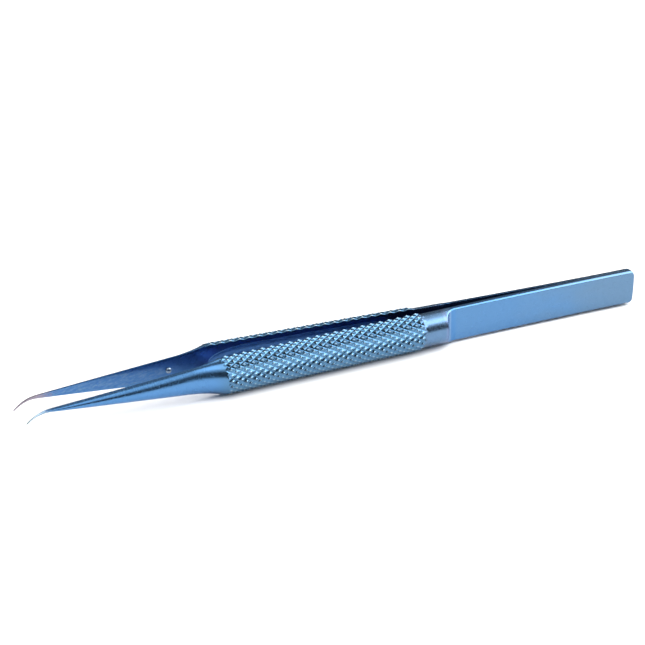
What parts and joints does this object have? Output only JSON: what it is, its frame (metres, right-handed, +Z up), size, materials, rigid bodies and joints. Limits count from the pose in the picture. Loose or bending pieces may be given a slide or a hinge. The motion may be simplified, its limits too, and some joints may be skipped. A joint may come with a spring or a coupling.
{
  "type": "precision tweezers",
  "caption": "Slim titanium micro tweezers with knurled half-round grips, flat spring blades welded at the heel, and fine tapered tips bent downwards",
  "frame": {"origin": "bottom centre of the bounding box, under the middle of the tweezers as they lie on both grips", "axes": "+X from the tips to the heel, Y is the direction in which the arms open, +Z up, along the width of the blades; the tips bend towards -Z"},
  "size_m": [0.12, 0.0128, 0.0071],
  "materials": {
    "anodised_titanium": "blue anodised titanium, satin, ground bare towards the tips",
    "bare_titanium": "uncoloured titanium, finely ground"
  },
  "bodies": {
    "heel": {"near_spring_root": "anodised_titanium", "far_spring_root": "anodised_titanium", "heel_weld": "bare_titanium"},
    "near_arm": {"near_arm": "anodised_titanium"},
    "far_arm": {"far_arm": "anodised_titanium", "stop_pin": "bare_titanium"}
  },
  "joints": [
    {"name": "near_arm_squeeze", "type": "hinge", "parent": "heel", "child": "near_arm", "pos_m": [0.039, -0.00082, 0.00355], "axis": [0, 0, -1], "range_deg": [0, 1.68], "stiffness_Nm_per_rad": 1.55},
    {"name": "far_arm_squeeze", "type": "hinge", "parent": "heel", "child": "far_arm", "pos_m": [0.039, 0.00082, 0.00355], "axis": [0, 0, 1], "range_deg": [0, 1.68], "stiffness_Nm_per_rad": 1.55}
  ],
  "couplings": [
    {"joint": "far_arm_squeeze", "follows": "near_arm_squeeze", "ratio": 1}
  ]
}
